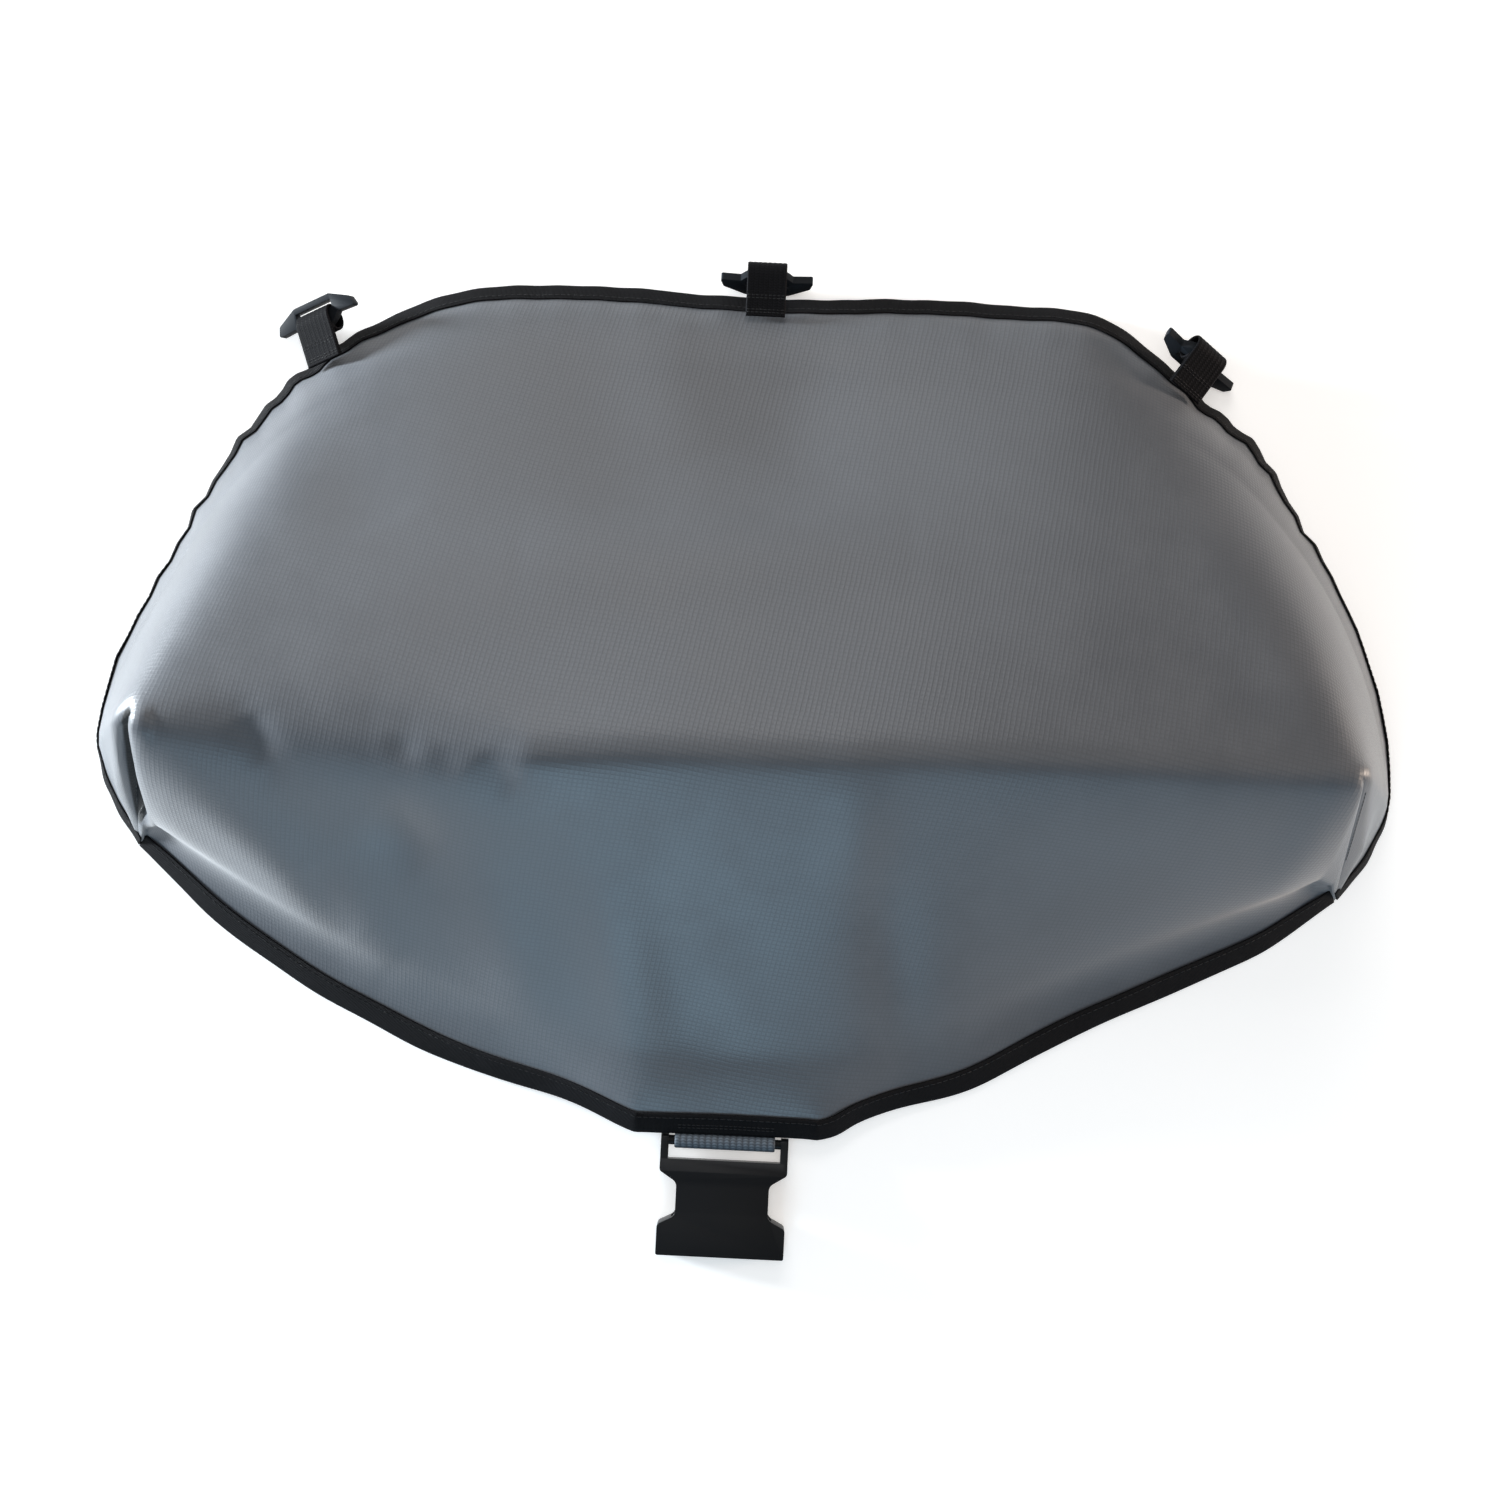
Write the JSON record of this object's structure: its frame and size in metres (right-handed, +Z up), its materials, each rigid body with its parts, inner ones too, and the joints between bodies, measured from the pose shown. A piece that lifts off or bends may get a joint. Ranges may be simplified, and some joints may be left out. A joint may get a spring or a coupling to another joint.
{
  "type": "kayak spray skirt",
  "caption": "Domed cockpit cover of grey coated fabric with bound hem, rear toggles on webbing loops and a side-release buckle socket at the front.",
  "frame": {"origin": "middle of the footprint, on the surface that the cover lies on", "axes": "+X across the cover to its right, +Y from the buckle to the rear toggles, +Z up"},
  "size_m": [0.6564, 0.4998, 0.1246],
  "materials": {
    "coated_fabric": "grey PVC-laminated polyester with a visible square scrim, satin",
    "binding_tape": "black ribbed binding tape, matt",
    "black_webbing": "black woven webbing with lengthwise ribs",
    "grey_webbing": "blue-grey woven strap",
    "thread": "black polyester sewing thread",
    "toggle_plastic": "black moulded nylon, satin",
    "buckle_plastic": "black moulded acetal, satin with polished bevels"
  },
  "bodies": {
    "cover": {"skirt_panel": "coated_fabric", "binding_front": "binding_tape", "binding_rear": "binding_tape", "binding_stitch_front": "thread", "binding_stitch_rear": "thread", "dart_stitch_left": "thread", "dart_stitch_right": "thread", "buckle_strap": "grey_webbing", "strap_stitch": "thread"},
    "buckle": {"buckle_socket": "buckle_plastic"},
    "webbing_loop_left": {"webbing_left": "black_webbing", "webbing_stitch_left": "thread"},
    "webbing_loop_centre": {"webbing_centre": "black_webbing", "webbing_stitch_centre": "thread"},
    "webbing_loop_right": {"webbing_right": "black_webbing", "webbing_stitch_right": "thread"},
    "toggle_left": {"toggle_left": "toggle_plastic"},
    "toggle_centre": {"toggle_centre": "toggle_plastic"},
    "toggle_right": {"toggle_right": "toggle_plastic"}
  },
  "joints": [
    {"name": "buckle_swing", "type": "hinge", "parent": "cover", "child": "buckle", "pos_m": [0, -0.19392, 0.0065], "axis": [-1, 0, 0], "range_deg": [-95, 95]},
    {"name": "webbing_left_fold", "type": "hinge", "parent": "cover", "child": "webbing_loop_left", "pos_m": [-0.21996, 0.18671, 0.01792], "axis": [0.8585, 0.3125, 0.4067], "range_deg": [-6, 90]},
    {"name": "toggle_left_turn", "type": "hinge", "parent": "webbing_loop_left", "child": "toggle_left", "pos_m": [-0.225, 0.20722, 0.0128], "axis": [0.8585, 0.3125, 0.4067], "range_deg": [-120, 100]},
    {"name": "webbing_centre_fold", "type": "hinge", "parent": "cover", "child": "webbing_loop_centre", "pos_m": [0, 0.2214, 0.0148], "axis": [1, 0, 0], "range_deg": [-4, 90]},
    {"name": "toggle_centre_turn", "type": "hinge", "parent": "webbing_loop_centre", "child": "toggle_centre", "pos_m": [0, 0.24293, 0.0118], "axis": [1, 0, 0], "range_deg": [-45, 225]},
    {"name": "webbing_right_fold", "type": "hinge", "parent": "cover", "child": "webbing_loop_right", "pos_m": [0.212, 0.19231, 0.01902], "axis": [0.7863, -0.4913, -0.3746], "range_deg": [-8, 90]},
    {"name": "toggle_right_turn", "type": "hinge", "parent": "webbing_loop_right", "child": "toggle_right", "pos_m": [0.222, 0.21122, 0.0152], "axis": [0.7863, -0.4913, -0.3746], "range_deg": [-45, 220]}
  ]
}
